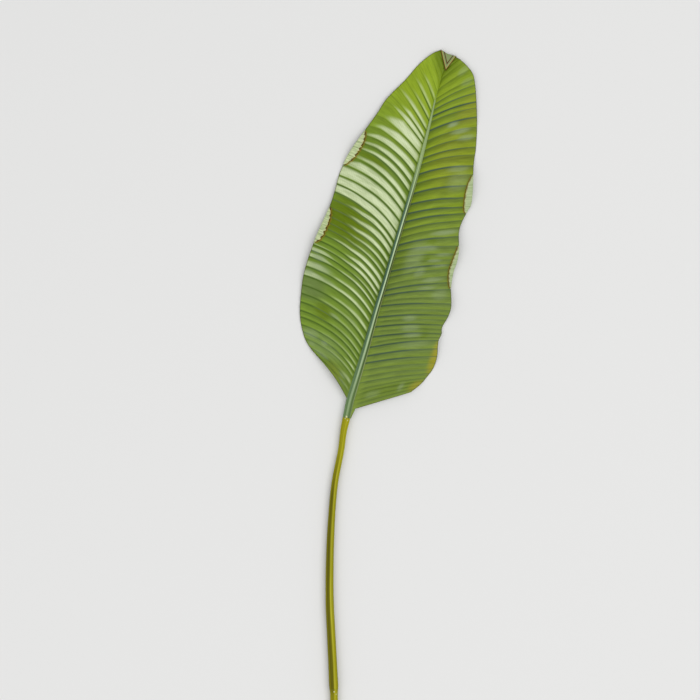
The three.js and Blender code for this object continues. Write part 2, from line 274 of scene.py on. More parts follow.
# rib y, edge x, edge y, edge height, bow of the line, arch of the half blade
LEFT_FAN = [
    (1.4, -98, 59.5, 7, 0.08, 3), (14, -110, 74, 4, 0.15, 6), (27, -117.8, 88.5, 1.5, 0.19, 9),
    (48, -123.6, 116, 0.3, 0.21, 11), (74, -122.6, 147, 3, 0.21, 13),
    (106, -117.5, 180.6, 7, 0.21, 15), (142, -103, 224, 9, 0.2, 16),
    (192, -81.8, 272.3, 6, 0.21, 17), (212, -75.3, 292.2, 4, 0.2, 17),
    (248, -68.2, 317.8, 3, 0.16, 16), (277, -56.6, 343, 5, 0.14, 15),
    (329, -35.6, 373.8, 8, 0.12, 12), (356, -14.6, 403.2, 5, 0.08, 10),
    (368, -3.4, 420.7, 3.5, 0.07, 9), (397, 23.2, 448, 2, 0.04, 6),
    (424, 42.8, 470.4, 3, 0.04, 3.5), (450, 60.3, 484.4, 3.5, 0.02, 1.5),
    (484, 72.2, 490, 2.5, 0, 0),
]
RIGHT_FAN = [
    (-12, 31.6, 11.2, 7, 0, 1), (3, 45.6, 22.4, 4, 0.03, 4), (18, 54, 32.2, 1.5, 0.04, 6),
    (34, 62.4, 43.4, 0.3, 0.05, 7), (52, 68, 59.5, 3, 0.05, 8), (74, 69.9, 81.9, 7, 0.05, 9),
    (90, 74.3, 92.4, 5, 0.05, 10), (101, 75.5, 102.2, 3, 0.05, 11), (116, 84, 117.6, 5, 0.05, 12),
    (129, 87.8, 131.6, 8, 0.05, 12.5), (147, 87.6, 158.2, 4, 0.05, 13),
    (164, 91, 179, 5, 0.06, 13), (181, 95.5, 192.5, 8, 0.06, 13), (200, 98.4, 210, 9, 0.06, 13),
    (220, 99.1, 238, 6, 0.06, 13), (249, 110.7, 264.6, 3, 0.06, 13),
    (258, 114.9, 271.6, 4, 0.06, 13), (272, 117.2, 285.6, 7, 0.06, 12.5),
    (297, 118.4, 312.2, 6, 0.07, 12), (319, 119.8, 333.2, 3, 0.07, 11),
    (336, 122.9, 354.2, 1, 0.07, 10), (361, 124.2, 382.2, 0.3, 0.07, 8),
    (393, 123.5, 413, 3, 0.06, 6), (413, 121.7, 439.6, 6, 0.06, 4.5),
    (427, 118.4, 456.4, 5, 0.05, 3.5), (442, 109.3, 469, 3, 0.04, 2.5),
    (454, 101.6, 476, 3, 0.02, 1.5), (484, 96, 479.8, 2.5, 0, 0),
]
FAN = {-1: LEFT_FAN, 1: RIGHT_FAN}
print("rows in the two fan tables:", [len(table) for table in FAN.values()])


# %% Read a table smoothly
def lerp(a, b, t):
    return a + (b - a) * t


def smooth(x, low, high):
    """0 below low, 1 above high and a soft step between, for numbers and arrays."""
    t = np.clip((x - low) / (high - low), 0, 1)
    return t * t * (3 - 2 * t)


def along(table, station):
    """Smooth values from a table whose rows are a station and the values there."""
    last = len(table) - 1
    i = 0
    while i < last - 1 and station > table[i + 1][0]:
        i += 1
    span = table[i + 1][0] - table[i][0]
    t = min(max((station - table[i][0]) / span, 0), 1)

    def slope(j, k):
        before, after = table[max(j - 1, 0)], table[min(j + 1, last)]
        return (after[k] - before[k]) / (after[0] - before[0])

    return [
        (1 + 2 * t) * (1 - t) ** 2 * table[i][k] + t * (1 - t) ** 2 * span * slope(i, k)
        + t * t * (3 - 2 * t) * table[i + 1][k] + t * t * (t - 1) * span * slope(i + 1, k)
        for k in range(1, len(table[0]))
    ]


def across(table, y):
    """Unit direction across a line given by a table, pointing to its right."""
    low, high = max(y - 1, table[0][0]), min(y + 1, table[-1][0])
    run, drift = high - low, along(table, low)[0] - along(table, high)[0]
    length = math.hypot(run, drift)
    return run / length, drift / length


print("midrib width at the collar in mm:", round(along(RIB_LINE, COLLAR_Y)[1], 1))

# %% One line of the fan
PLEAT_SHARE = {-1: 1.0, 1: 0.8}
RIB_ABOVE_BLADE = 1.1
STEP_MARKS = (0, STEPS_BESIDE_RIB, STEPS)


def station_marks(side):
    return FAN[side][0][0], SLOT_END_Y, TIP_Y


class Line:
    """The line from the midrib to the margin at one step. side is -1 left, 1 right."""

    def __init__(self, side, step):
        self.side, self.step = side, step
        self.station = float(np.interp(step, STEP_MARKS, station_marks(side)))
        x, width, depth, rise = along(RIB_LINE, self.station)
        out = across(RIB_LINE, self.station)
        offset = side * (width / 2 + SEAM_MM) if step < STEPS_BESIDE_RIB else 0
        self.root = (x + out[0] * offset, self.station + out[1] * offset)
        edge_x, edge_y, self.edge_z, bow, self.arch = along(FAN[side], self.station)
        self.edge = (edge_x, edge_y)
        chord = (edge_x - self.root[0], edge_y - self.root[1])
        self.middle = (self.root[0] + chord[0] / 2 - side * chord[1] * bow,
                       self.root[1] + chord[1] / 2 + side * chord[0] * bow)
        self.length = math.hypot(*chord)
        self.root_z = rise + depth - RIB_ABOVE_BLADE

    def plan(self, u):
        """Place seen from above, u from the midrib (0) to the margin (1)."""
        return [(1 - u) ** 2 * a + 2 * u * (1 - u) * b + u * u * c
                for a, b, c in zip(self.root, self.middle, self.edge)]

    def heading(self, u):
        run = [(1 - u) * (b - a) + u * (c - b)
               for a, b, c in zip(self.root, self.middle, self.edge)]
        length = math.hypot(*run)
        return run[0] / length, run[1] / length

    def height(self, u):
        """Height of the blade before its pleats are raised."""
        short = min(1, self.length / 40)
        arched = self.arch * math.sin(math.pi * max(u, 0) ** 0.8)
        sway = 1.2 * u * math.sin(self.station / 13 + 4 * u) * short
        return lerp(self.root_z, self.edge_z, u) + arched + sway

    def swell(self, u):
        """How strongly a pleat rises here: not at the midrib, and less at the margin."""
        fade = smooth(u, 0, 0.1) * (1 - 0.5 * smooth(u, 0.7, 1))
        return float(fade) * min(1, self.length / 40) * PLEAT_SHARE[self.side]


print("longest line in mm:", round(max(Line(-1, step).length for step in range(STEPS)), 1))

# %% [markdown]
# ## Where the side veins run
# Side veins don't leave the midrib evenly: gaps of 6 to 16 mm follow each other, and some veins
# slip towards the tip or the stalk on their way out. Two tables keep that. A point's pleat number
# is whole on a vein, so its fraction says where the point lies between two veins.

# %% Tables of the side veins
# stations in millimetres where the veins of each half leave the midrib
VEIN_STATIONS = {
    -1: [1.4, 9.5, 18, 29.5, 36.5, 44, 52.5, 60, 70, 80.5, 92, 105, 116, 127, 134.5, 142, 150, 160,
         170.5, 180, 189.5, 200, 210.5, 220, 233, 248, 262, 274, 289.5, 301, 314.5, 329.5, 342.5,
         357, 364.5, 375.5, 390, 402.5, 417.5, 431, 445, 458, 471, 484],
    1: [-12, -4, 2, 10, 17, 25.5, 34, 43, 53, 63, 75, 82, 89.5, 97.5, 103.5, 111, 117, 125, 132.5,
        139.5, 147, 154.5, 162.5, 172.5, 181, 190, 199, 208.5, 217.5, 228.5, 238.5, 250, 261.5,
        274.5, 289.5, 303.5, 316.5, 330, 338.5, 350, 363, 377, 390, 397, 406, 414.5, 421, 435, 449,
        461, 472, 484],
}
# veins of the right half that stand out, and those that hardly show
STRONG_VEINS = (8, 9, 10, 12, 14, 16, 18, 20, 21, 24, 28, 31, 32, 33, 34, 36, 41, 43)
FAINT_VEINS = (1, 2, 4, 11, 13, 15, 17, 19, 22, 25, 29, 46, 47, 48, 49, 50)
# stations, and the slip of a vein there for each millimetre of its run
SLIP = {
    -1: ([-12, 70, 130, 190, 222, 250, 285, 310, 375, 430, 484],
         [-0.05, -0.06, -0.067, -0.175, -0.133, -0.05, 0.1, 0.167, 0.15, 0.067, 0]),
    1: ([-12, 40, 90, 150, 210, 270, 330, 400, 484],
        [0, 0, 0.017, -0.04, -0.067, -0.067, -0.033, 0, 0]),
}
SLIP_ENDS_MM = 66


def pleat_at(side, station, run):
    """Pleat number of a point, its station on the midrib, and the width of its pleat there."""
    roots, slips = SLIP[side]
    reached = [root + slip * min(run, SLIP_ENDS_MM) for root, slip in zip(roots, slips)]
    root = float(np.interp(station, reached, roots))
    veins = VEIN_STATIONS[side]
    pleat = float(np.interp(root, veins, range(len(veins))))
    below = min(int(pleat), len(veins) - 2)
    return pleat, root, veins[below + 1] - veins[below]


print("side veins left and right:", [len(stations) for stations in VEIN_STATIONS.values()])

# %% [markdown]
# ## The net of the blade
# The blade is one sheet. First a net of points is laid along the fan, a row for each millimetre of
# midrib, with closer columns beside the midrib and the margin. Every point keeps numbers that the
# pleats and the colours will need: its pleat, its run from the midrib, its distance to a free
# edge.

# %% Net and its columns
ROWS_PER_STEP = 10
ROWS = STEPS * ROWS_PER_STEP
FOLD_RADIUS = 1.4
FAR = 30
TUCK_MM = 1.1
FIELDS = ("pleat", "station", "reach", "run", "pitch", "swell", "up", "rim", "hem", "torn")


class Net:
    def __init__(self):
        self.points, self.values, self.faces = [], [], []

    def row(self, items):
        """Adds points, each with its values, and returns their numbers."""
        start = len(self.points)
        for point, values in items:
            self.points.append(point)
            self.values.append(values)
        return list(range(start, len(self.points)))

    def stitch(self, near, far):
        """Fills the strip between two rows, both from left to right, the second nearer the tip."""
        self.faces += zip(near, near[1:], far[1:], far)


def columns(line, end):
    """Shares of the way along a line: one tucked into the midrib, then out to the margin."""
    crease = min(4, 0.2 * line.length) / line.length
    band = min(5, 0.3 * line.length) / line.length
    inner = [crease * i / 4 for i in range(4)]
    open_part = [lerp(crease, 1 - band, i / 25) for i in range(26)]
    outer = [lerp(1 - band, 1 - end, i / 5) for i in range(1, 6)]
    tucked = [-TUCK_MM / line.length] if line.step < STEPS_BESIDE_RIB else []
    return tucked + inner + open_part + outer


fan = {side: [Line(side, row / ROWS_PER_STEP) for row in range(ROWS + 1)] for side in (-1, 1)}


def spacing(line, u):
    """Millimetres between two lines here, measured square to them, for one millimetre of midrib."""
    row = round(line.step * ROWS_PER_STEP)
    low, high = fan[line.side][max(row - 1, 0)], fan[line.side][min(row + 1, ROWS)]
    (ax, ay), (bx, by) = low.plan(u), high.plan(u)
    head = line.heading(u)
    return abs((bx - ax) * head[1] - (by - ay) * head[0]) / (high.station - low.station)


def blade_point(line, u, rim, hem=FAR, torn=0, up=0):
    """A point of the blade with its values, in the order of FIELDS."""
    x, y = line.plan(u)
    run = max(u, 0) * line.length
    pleat, root, gap = pleat_at(line.side, line.station, run)
    return (x, y, line.height(u)), (pleat, root, line.side * max(u, 0), run, gap * spacing(line, u),
                                    line.swell(u), up, rim, hem, torn)


print("lines in the fan:", sum(len(lines) for lines in fan.values()))

# %% [markdown]
# ## Turned-over margins and tip
# In four places a wind-torn stretch of the margin is folded over and shows the pale underside.
# There the row of points stops short, climbs round a half circle and runs back over the blade to a
# torn edge, scalloped on the left half and smooth on the right. The tip is folded over as a small
# triangle.

# %% Measures of the folds
# steps from and to, width folded over, where along the stretch it is widest
FOLDS = {-1: [(25.5, 32.5, 10.5, 0.4), (13.5, 18.5, 8.6, 0.35)],
         1: [(24.5, 29.5, 10.5, 0.4), (15, 20.5, 7.2, 0.5)]}
FOLD_END_WIDTH, FOLD_LIFT = 1.9, 0.6
SCALLOP, ROUNDNESS = {-1: 0.6, 1: 0.15}, {-1: 3, 1: 2.2}
TORN = {-1: 1, 1: 0.55}
TIP_FLAP_POINT, TIP_SHEET_HEIGHT, TIP_FLAP_LENGTH = (79.9, 460.6), 2.4, 26
TIP_TORN = 2
TURN_STEPS, OVER_STEPS = 6, 7


def fold_at(line):
    return next((f for f in FOLDS[line.side] if f[0] <= line.step <= f[1]), None)


def half_circle():
    """Distance inward from the outermost line, and height, round the back of a fold."""
    for i in range(1, TURN_STEPS + 1):
        angle = math.radians(-90 + 180 * i / TURN_STEPS)
        yield FOLD_RADIUS * (1 - math.cos(angle)), FOLD_RADIUS * (1 + math.sin(angle))


def fold_width(line, fold):
    """How far the margin is turned over here."""
    first, last, full, widest = fold
    t = (line.step - first) / (last - first)
    off_widest = abs(t - widest) / (widest if t < widest else 1 - widest)
    crescent = 1 - off_widest ** ROUNDNESS[line.side]
    ragged = SCALLOP[line.side] * (math.sin(8.6 * line.step) + 0.6 * math.sin(14.3 * line.step + 1))
    return lerp(FOLD_END_WIDTH, full + ragged, crescent)


def fold_row(line, fold):
    """The points of a turned-over margin past the end of its row."""
    width = fold_width(line, fold)
    path = list(half_circle())
    path += [(lerp(FOLD_RADIUS, width, s), 2 * FOLD_RADIUS + FOLD_LIFT * s)
             for s in (i / OVER_STEPS for i in range(1, OVER_STEPS + 1))]
    return [blade_point(line, 1 - inward / line.length, width - inward, torn=TORN[line.side], up=up)
            for inward, up in path]


print("folds left and right:", [len(folds) for folds in FOLDS.values()])

# %% Lay the net
STEP_MM, STRIP_TOP_MM = 9.5, 4.5
net = Net()
rows = []
for row in range(ROWS + 1):
    pair = {}
    for side in (-1, 1):
        line = fan[side][row]
        before, after = fan[side][max(row - 1, 0)], fan[side][min(row + 1, ROWS)]
        outline = (after.edge[0] - before.edge[0], after.edge[1] - before.edge[1])
        head = line.heading(1)
        slant = abs(outline[0] * head[1] - outline[1] * head[0]) / math.hypot(*outline)
        folded = fold_at(line)
        width = fold_width(line, folded) if folded else 0
        items = []
        for u in columns(line, FOLD_RADIUS / line.length if folded else 0):
            inward = (1 - u) * line.length
            lower_end = FAR if side > 0 and u * line.length < STRIP_TOP_MM else STEP_MM * line.step
            rim = min(FAR if folded else inward * slant, lower_end, STEP_MM * (STEPS - line.step))
            items.append(blade_point(line, u, rim, hem=inward - width if folded else FAR))
        pair[side] = items
    left = net.row(pair[-1][::-1])
    if row < STEPS_BESIDE_RIB * ROWS_PER_STEP:
        right = net.row(pair[1])
    else:
        right = [left[-1], *net.row(pair[1][1:])]
    rows.append((left, right))

for near, far in zip(rows, rows[1:]):
    for a, b, tucked in ((near[0], far[0], -1), (near[1], far[1], 0)):
        if len(a) > len(b):
            a = a[:-1] if tucked else a[1:]
        net.stitch(a, b)

for side, folds in FOLDS.items():
    for fold in folds:
        last = None
        for row in range(round(fold[0] * ROWS_PER_STEP), round(fold[1] * ROWS_PER_STEP) + 1):
            turned = net.row(fold_row(fan[side][row], fold))
            turned = [*turned[::-1], rows[row][0][0]] if side < 0 else [rows[row][1][-1], *turned]
            if last:
                net.stitch(last, turned)
            last = turned
print("net points:", len(net.points))

# %% [markdown]
# ## The folded tip and the strip beside the midrib
# The last row goes over a half circle too and then narrows to the point of the flap. Below the
# right half a thin strip of the blade runs on down the midrib to the collar, where the stalk
# begins.

# %% Fold the tip over
top = [*rows[-1][0], *rows[-1][1][1:]][2:-2]
corners = [net.points[top[0]], net.points[top[-1]]]


def side_distance(x, y):
    """Distance from a point of the tip flap to its nearer torn side."""
    px, py = TIP_FLAP_POINT
    return min(abs((px - cx) * (cy - y) - (cx - x) * (py - cy)) / math.hypot(px - cx, py - cy)
               for cx, cy, _ in corners)


flap_path = [((inward - FOLD_RADIUS) / TIP_FLAP_LENGTH, up) for inward, up in half_circle()]
flap_path += [(s, 2 * FOLD_RADIUS + FOLD_LIFT * s) for s in (0.08, *np.linspace(0.16, 0.98, 14))]
last = top
for share, up in flap_path:
    items = []
    for number in top:
        x, y, z = net.points[number]
        x, y = lerp(x, TIP_FLAP_POINT[0], share), lerp(y, TIP_FLAP_POINT[1], share)
        reach = net.values[number][FIELDS.index("reach")]
        values = (STEPS - 0.5, TIP_Y, reach, 5, 10, 0, up, side_distance(x, y), FAR, TIP_TORN)
        items.append(((x, y, TIP_SHEET_HEIGHT), values))
    flap = net.row(items)
    net.stitch(last, flap)
    last = flap
print("points across the tip flap:", len(top))

# %% Run the right half down beside the midrib
beside_rib = rows[0][1][:6]
strip_rows = []
for y, width in ((-24.5, 0.5), (-21, 1.2), (-18, 1.9), (-15, 2.7)):
    x, rib_width, depth, rise = along(RIB_LINE, y)
    out = across(RIB_LINE, y)
    items = []
    for share in np.linspace(0, 1, len(beside_rib)):
        offset = rib_width / 2 + SEAM_MM - TUCK_MM + (width + TUCK_MM) * share
        rim = (width + TUCK_MM) * (1 - share)
        values = (0.3, y, 0.01, 1, 11, 0, 0, rim, FAR, 0)  # in the order of FIELDS
        z = rise + depth - RIB_ABOVE_BLADE
        items.append(((x + out[0] * offset, y + out[1] * offset, z), values))
    strip_rows.append(net.row(items))
for near, far in zip(strip_rows, [*strip_rows[1:], beside_rib]):
    net.stitch(near, far)
print("strip rows:", len(strip_rows))

# %% [markdown]
# ## Where the blade has painted sheen, or is yellow or deep green
# On the left half a silvery streak of painted sheen, a highlight, lies on the tip side of each
# vein. In one patch the streaks reach the margin, elsewhere they taper off. The right half has dull
# gloss spots of painted highlight instead, and its lower margin yellows. These marks are set out by
# run from the midrib and station along it.

# %% Painted sheen streaks of the left half
# for each pleat from the stalk, a painted sheen: silver as far as, tail as far as (mm), share of
# the pleat, strength
SHEEN_STREAKS = [
    (0, 10, 0.3, 0), (5, 25, 0.4, 0.2), (8, 30, 0.5, 0.45), (12, 75, 0.45, 0.35),
    (8, 30, 0.5, 0.6), (12, 75, 0.4, 0.4), (12, 66, 0.4, 0.3), (14, 66, 0.4, 0.4),
    (10, 66, 0.4, 0.42), (14, 88, 0.4, 0.5), (20, 75, 0.45, 0.7), (48, 116, 0.42, 0.85),
    (42, 84, 0.4, 0.9), (46, 80, 0.42, 0.95), (20, 60, 0.45, 0.65), (52, 84, 0.6, 0.95),
    (54, 74, 0.6, 1), (50, 98, 0.56, 1), (24, 84, 0.45, 0.7), (28, 80, 0.5, 0.8),
    (50, 84, 0.54, 1), (36, 86, 0.72, 1), (54, 92, 0.68, 1), (130, 140, 0.95, 1),
    (130, 140, 0.86, 1), (130, 140, 0.84, 1), (100, 112, 0.72, 1), (52, 96, 0.48, 1),
    (52, 94, 0.62, 1), (54, 92, 0.56, 1), (62, 88, 0.64, 1), (46, 76, 0.8, 1), (46, 66, 0.86, 1),
    (38, 62, 0.75, 0.95), (40, 50, 0.48, 0.85), (38, 62, 0.4, 0.75), (20, 44, 0.35, 0.5),
    (38, 48, 0.35, 0.45), (28, 40, 0.35, 0.4), (0, 10, 0.3, 0),
]
TAIL_SHARE = 0.24

numbers = {field: np.array(column) for field, column in zip(FIELDS, zip(*net.values))}
pleat, station, run = (numbers[field] for field in ("pleat", "station", "run"))
left_half = numbers["reach"] < 0
bright, tail, share, strength = np.array(SHEEN_STREAKS)[np.minimum(pleat.astype(int), len(SHEEN_STREAKS) - 1)].T
ending = np.clip((run - 0.85 * bright) / (tail - 0.85 * bright), 0, 1)
# painted sheen: how strongly the silvery highlight shows at each point, also in a patch near the
# margin
bloom = strength * (1 - 0.5 * ending) * (1 - smooth(run, tail - 16, tail + 5)) * smooth(run, -1, 6)
margin_sheen = smooth(run, 66, 104) * smooth(station, 98, 108) * (1 - smooth(station, 140, 148))
bloom = np.maximum(bloom, 0.66 * margin_sheen)
bloom = np.where(left_half, bloom, 0)
band = np.maximum(share - (share - TAIL_SHARE) * ending, 0.6 * margin_sheen)
print("share of points with silver:", round(float((bloom > 0.5).mean()), 3))


# %% Spots, and the strength of the painted shade at each vein line
def spots(places):
    """Flat-topped ovals: run, station, half length, half height and strength of each."""
    total = np.zeros(len(run))
    for r, s, long, high, strength in places:
        away = ((run - r) / long) ** 2 + ((station - s) / high) ** 2
        total = np.maximum(total, strength * np.exp(-away ** 2))
    return total


# gloss spots: painted sheen, greyish highlight patches on both halves
gloss = np.where(
    left_half,
    spots([(60, 32, 30, 14, 0.3), (61, 35, 6, 4, 0.7), (82, 38, 13, 6, 0.6), (62, 19, 14, 4, 0.6),
           (20, 17, 7, 2, 0.5), (18, 10, 7, 2, 0.4), (58, 73, 8, 2, 0.7), (28, 85, 9, 1.6, 0.4),
           (105, 130, 10, 3, 0.75), (98, 120, 18, 3.6, 0.6), (112, 111, 9, 3, 0.7),
           (88, 109, 20, 2.6, 0.45), (112, 136, 7, 3, 0.45), (78, 26, 7, 4, 0.5)]),
    spots([(36, 373, 8, 3.6, 0.8), (50, 361, 14, 3.6, 0.7), (60, 351, 12, 4, 0.6),
           (58, 313, 15, 5, 0.5), (62, 296, 15, 13, 0.35), (66, 223, 19, 3, 0.8),
           (40, 207, 19, 3.6, 0.7), (30, 195, 14, 21, 0.4), (70, 198, 11, 3, 0.5),
           (70, 180, 11, 3, 0.5), (60, 189, 11, 2.6, 0.6), (44, 172, 8, 9, 0.45),
           (66, 159, 15, 3, 0.6), (60, 150, 13, 2, 0.6), (80, 142, 11, 6, 0.4),
           (45, 112, 10, 4, 0.6), (50, 98, 13, 5, 0.5), (56, 86, 13, 4, 0.55),
           (65, 70, 21, 6, 0.25), (65, 5, 4, 8, 0.5), (25, 3, 11, 6, 0.3), (42, 437, 9, 5, 0.4),
           (50, 421, 9, 4, 0.4)]))
deep = np.where(
    left_half,
    spots([(86, 192, 42, 30, 1), (66, 283, 28, 6, 0.8), (76, 70, 14, 11, 0.8),
           (70, 304, 22, 5, 0.4), (5, 470, 40, 26, 0.75), (22, 6, 50, 24, 0.5)]),
    spots([(44, 193, 9, 6, 0.8), (50, 214, 7, 3, 0.6), (72, 87, 6, 9, 0.5), (42, 261, 11, 3, 0.9),
           (46, 290, 8, 13, 0.5), (44, 273, 9, 4, 0.5), (5, 468, 42, 28, 0.85),
           (12, 190, 9, 22, 0.35), (45, 4, 50, 12, 0.35)]))
# grey olive: on the left a painted sheen patch near the margin, on the right a greyer lower half
dull = np.where(left_half, spots([(104, 92, 26, 17, 0.8), (20, 5, 50, 20, 0.6)]),
                0.55 * (1 - smooth(station, 150, 310)))
yellow = np.where(left_half, spots([(35, 10, 14, 12, 0.15)]),
                  spots([(98, 50, 7, 25, 0.9), (90, 0, 12, 12, 0.7), (60, 385, 22, 22, 0.3),
                         (50, 330, 40, 50, 0.2)]))
lime = np.where(left_half, smooth(station, 290, 400),
                np.maximum(0.7 * (1 - smooth(run, 3, 12)) * (1 - smooth(station, 110, 160)),
                           0.4 * smooth(station, 370, 420)))

chance = np.random.default_rng(11)
vein_luck = chance.uniform(0.5, 0.8, len(VEIN_STATIONS[1]))
vein_luck[list(STRONG_VEINS)], vein_luck[list(FAINT_VEINS)] = 1, 0.25
# how dark the painted shade in each vein's valley is, vein by vein
right_crease_shade = vein_luck[np.rint(pleat).astype(int)] * (1 - 0.4 * smooth(run, 45, 85))
left_crease_shade = (0.95 - 0.35 * deep) * (1 - 0.6 * smooth(run, 55, 95) * smooth(station, 225, 260))
left_crease_shade *= 1 - 0.6 * smooth(run, 15, 50) * smooth(station, 290, 350)
crease_shade_strength = np.where(left_half, left_crease_shade, right_crease_shade)
crease_shade_strength *= 1 - 0.75 * smooth(station, 400, 440)
crease_shade_strength *= 0.45 + 0.55 * smooth(station, 5, 60)
numbers.update(bloom=bloom, band=band, gloss=gloss, yellow=yellow, deep=deep, dull=dull, lime=lime,
               line=crease_shade_strength)
print("share of points in gloss spots:", round(float((gloss > 0.3).mean()), 3))

# %% [markdown]
# ## Upper face: waxy living lamina
# A banana lamina has a thin waxy skin, so it is satin: its gloss is broad and soft. Along the
# parallel veins, fine dark lines of painted shade lie in the valleys of the pleats. Between them
# lie much finer veinlets, about 1.5 mm apart, tied by cross veinlets. Both are real ridges too low
# to model, so they are bump.

# %% Values that both faces use
SHADER_FIELDS = ("pleat", "reach", "run", "pitch", "rim", "hem", "torn", "bloom", "band", "gloss",
                 "yellow", "deep", "dull", "lime", "line")


def surface_values(tree):
    """Named numbers of the point, its phase within its pleat, and its distance to a vein."""
    seen = {field: add(tree, "ShaderNodeAttribute", out="Fac", attribute_name=field)
            for field in SHADER_FIELDS}
    seen["phase"] = add(tree, MATH, seen["pleat"], operation="FRACT")
    centred = add(tree, MATH, seen["phase"], 0.5, operation="SUBTRACT")
    off_crest = add(tree, MATH, centred, operation="ABSOLUTE")
    share = add(tree, MATH, 0.5, off_crest, operation="SUBTRACT")
    seen["from_vein"] = add(tree, MATH, share, seen["pitch"], operation="MULTIPLY")
    return seen


print("fields that the shaders read:", len(SHADER_FIELDS))

# %% Fine veinlets, as a height and as a tint
# Real cross veinlets are about 1 mm apart, too fine to see from here, so they are drawn coarser.
VEINLETS_PER_PLEAT = 7
CROSS_VEINLET_MM = 2.6


def veinlets(tree, seen):
    """0 on a veinlet and 1 between two, with faint cross veinlets and a grain along the veins."""
    lines = add(tree, MATH, seen["pleat"], math.pi * VEINLETS_PER_PLEAT, operation="MULTIPLY")
    lines = add(tree, MATH, lines, operation="SINE")
    lines = add(tree, MATH, lines, operation="ABSOLUTE")
    cross = add(tree, MATH, seen["run"], 2 * math.pi / CROSS_VEINLET_MM, operation="MULTIPLY")
    cross = add(tree, MATH, cross, operation="SINE")
    across_pleat = add(tree, MATH, seen["pleat"], 6, operation="MULTIPLY")
    down_vein = add(tree, MATH, seen["run"], 0.05, operation="MULTIPLY")
    place = add(tree, "ShaderNodeCombineXYZ", across_pleat, down_vein, seen["reach"])
    grain = add(tree, "ShaderNodeTexNoise",
                {"Vector": place, "Scale": 1, "Detail": 3, "Roughness": 0.6}, out="Fac")
    height = add(tree, MATH, cross, 0.12, lines, operation="MULTIPLY_ADD")
    height = add(tree, MATH, grain, 1.4, height, operation="MULTIPLY_ADD")
    return height, grain, cross


print("veinlets per pleat:", VEINLETS_PER_PLEAT)

# %% Green of the upper face
upper, tree, shader = material("waxy_upper_lamina", 0.42, IOR=1.45, Specular_IOR_Level=0.14)
seen = surface_values(tree)
height, grain, cross = veinlets(tree, seen)
on_right = add(tree, MATH, seen["reach"], 0, operation="GREATER_THAN")

# Each pleat goes from clear green above its vein to painted shade, a duller green, under the next.
clear = add(tree, MIX, on_right, "76922E", "80961C", **RGBA)
shade_under_next = add(tree, MIX, on_right, "647E2A", "5E7224", **RGBA)
dulled = add(tree, RANGE, seen["phase"], 0.12, 0.9, **SOFT)
green = add(tree, MIX, dulled, clear, shade_under_next, **RGBA)
for field, code in (("lime", "8AA226"), ("dull", "667A42"), ("deep", "5E740C"),
                    ("yellow", "969026")):
    green = add(tree, MIX, seen[field], green, code, **RGBA)
streaked = add(tree, RANGE, grain, 0.3, 0.7, 0.84, 1.14)
green = add(tree, "ShaderNodeVectorMath", green, streaked, operation="SCALE")
print("nodes of the green:", len(tree.nodes))

# %% Silver, gloss and lines of the upper face
# The silver is a painted sheen highlight. It begins 1 to 2 mm above a vein and ends softly at its
# share of the pleat.
begins = add(tree, RANGE, seen["phase"], 0.03, 0.2, **SOFT)
beyond = add(tree, MATH, seen["phase"], seen["band"], operation="SUBTRACT")
ends = add(tree, RANGE, beyond, -0.16, 0.14, 1, 0, **SOFT)
patchy = add(tree, RANGE, grain, 0.3, 0.6, 0.6, 1)
silver_sheen = begins
for portion in (ends, seen["bloom"], patchy):
    silver_sheen = add(tree, MATH, silver_sheen, portion, operation="MULTIPLY")
hatch = add(tree, MATH, cross, 0.05, 1, operation="MULTIPLY_ADD")
# the pale colour of the painted sheen highlight
sheen_highlight_tone = add(tree, "ShaderNodeVectorMath", colour("CAD6AC")[:3], hatch, operation="SCALE")
paint = add(tree, MIX, silver_sheen, green, sheen_highlight_tone, **RGBA)
# the gloss spots are a painted highlight, greyish, laid over the paint
painted_gloss = add(tree, MATH, seen["gloss"], patchy, operation="MULTIPLY")
paint = add(tree, MIX, painted_gloss, paint, "8B9C72", **RGBA)

# The vein line is painted shade in the vein's valley, darker than the lamina, and greyer where it
# crosses a painted gloss spot.
left_crease_shade_tone = add(tree, MIX, seen["deep"], "48621C", "5C6E48", **RGBA)
crease_shade_colour = add(tree, MIX, on_right, left_crease_shade_tone, "435840", **RGBA)
crease_shade_colour = add(tree, MIX, painted_gloss, crease_shade_colour, "7C8C78", **RGBA)
wider = add(tree, MATH, seen["line"], 0.3, operation="ADD")
from_line = add(tree, MATH, seen["from_vein"], wider, operation="DIVIDE")
vein_crease_shade = add(tree, RANGE, from_line, 0.25, 1.6, 1, 0, **SOFT)
vein_crease_shade = add(tree, MATH, vein_crease_shade, seen["line"], operation="MULTIPLY")
paint = add(tree, MIX, vein_crease_shade, paint, crease_shade_colour, **RGBA)
print("nodes with silver and lines:", len(tree.nodes))

# %% Margin of the upper face
# A thin dark hem runs along the margin. Beside a folded stretch the lamina is scorched orange.
scorched = add(tree, MATH, seen["hem"], 0.4, operation="SUBTRACT")
scorched = add(tree, MATH, scorched, operation="ABSOLUTE")
scorched = add(tree, RANGE, scorched, 0.3, 2.2, 0.75, 0, **SOFT)
paint = add(tree, MIX, scorched, paint, "A08A2C", **RGBA)
margin_line = add(tree, RANGE, seen["rim"], 0.3, 1.3, 0.75, 0, **SOFT)
paint = add(tree, MIX, margin_line, paint, "4C4E1A", **RGBA)
bump = add(tree, "ShaderNodeBump", {"Height": height, "Strength": 0.35, "Distance": 0.00012})
coat(shader, paint, bump)

# %% [markdown]
# ## Underside: pale bloom, and the brown torn edge
# The underside wears a whitish wax bloom, so it is pale and matt. It shows where the margin is
# turned over. A torn edge dries from the outside in: dark brown dots sit right on it, with an
# orange-yellow hem behind. On the folded tip a second brown line runs inside the first.

# %% Bloom of the underside
under, tree, shader = material("bloomed_underside", 0.6, IOR=1.42, Specular_IOR_Level=0.25)
seen = surface_values(tree)
height, grain, _ = veinlets(tree, seen)
pale = add(tree, RANGE, grain, 0.3, 0.7)
